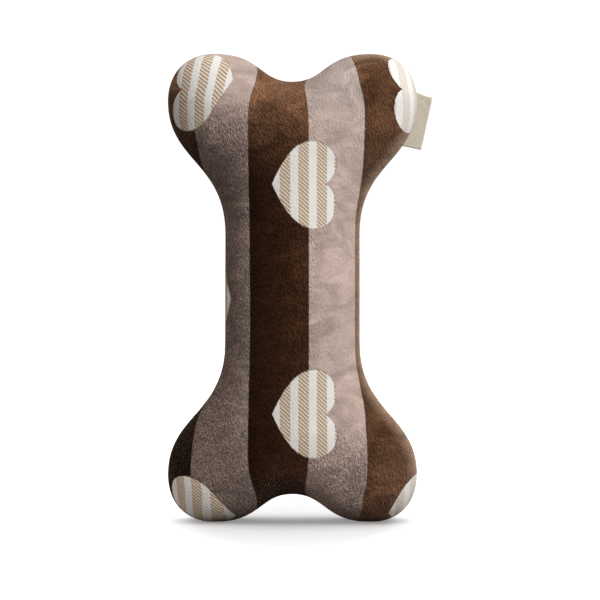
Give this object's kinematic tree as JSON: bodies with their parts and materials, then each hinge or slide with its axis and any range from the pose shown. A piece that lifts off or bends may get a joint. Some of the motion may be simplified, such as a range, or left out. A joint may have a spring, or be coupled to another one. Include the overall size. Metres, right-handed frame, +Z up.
{
  "type": "squeaky dog toy",
  "caption": "Stuffed plush bone for a dog, sewn from a front and a back panel, with a bellows squeaker inside its shaft and a folded ribbon label in the side seam.",
  "frame": {"origin": "middle of the bone, on the plane of the seam and on the axis of the shaft", "axes": "+Z up along the bone's length as it stands on its two lower lobes, -Y towards the front panel, +X towards the side with the label"},
  "size_m": [0.1579, 0.066, 0.2795],
  "materials": {
    "plush": "short-pile plush printed with brown and taupe stripes and hatched cream hearts",
    "thread": "twisted polyester sewing thread",
    "ribbon": "woven cotton ribbon, bare",
    "fibrefill": "loose white polyester fibre",
    "squeaker_body": "blow-moulded polyethylene",
    "whistle_body": "injection-moulded polypropylene",
    "reed_film": "thin polyester film"
  },
  "bodies": {
    "bone": {"front_panel": "plush", "back_panel": "plush", "seam_thread": "thread", "closing_thread": "thread", "stuffing_shaft_front": "fibrefill", "stuffing_shaft_back": "fibrefill", "stuffing_top_left": "fibrefill", "stuffing_top_right": "fibrefill", "stuffing_bottom_left": "fibrefill", "stuffing_bottom_right": "fibrefill", "squeaker_bellows": "squeaker_body"},
    "whistle": {"whistle_plug": "whistle_body", "reed_tube": "whistle_body", "reed_clip": "whistle_body"},
    "reed": {"reed": "reed_film"},
    "label": {"side_label": "ribbon"}
  },
  "joints": [
    {"name": "squeaker_press", "type": "slide", "parent": "bone", "child": "whistle", "axis": [0, 1, 0], "range_m": [0, 0.008], "stiffness_N_per_m": 400, "deforming": ["squeaker_bellows"]},
    {"name": "reed_flex", "type": "hinge", "parent": "whistle", "child": "reed", "pos_m": [0, -0.0119, 0.0017], "axis": [1, 0, 0], "range_deg": [-2, 4], "stiffness_Nm_per_rad": 0.002},
    {"name": "label_flap", "type": "hinge", "parent": "bone", "child": "label", "pos_m": [0.07132, 0, 0.09978], "axis": [0.2644, 0, 0.9644], "range_deg": [-45, 45], "stiffness_Nm_per_rad": 0.002}
  ]
}
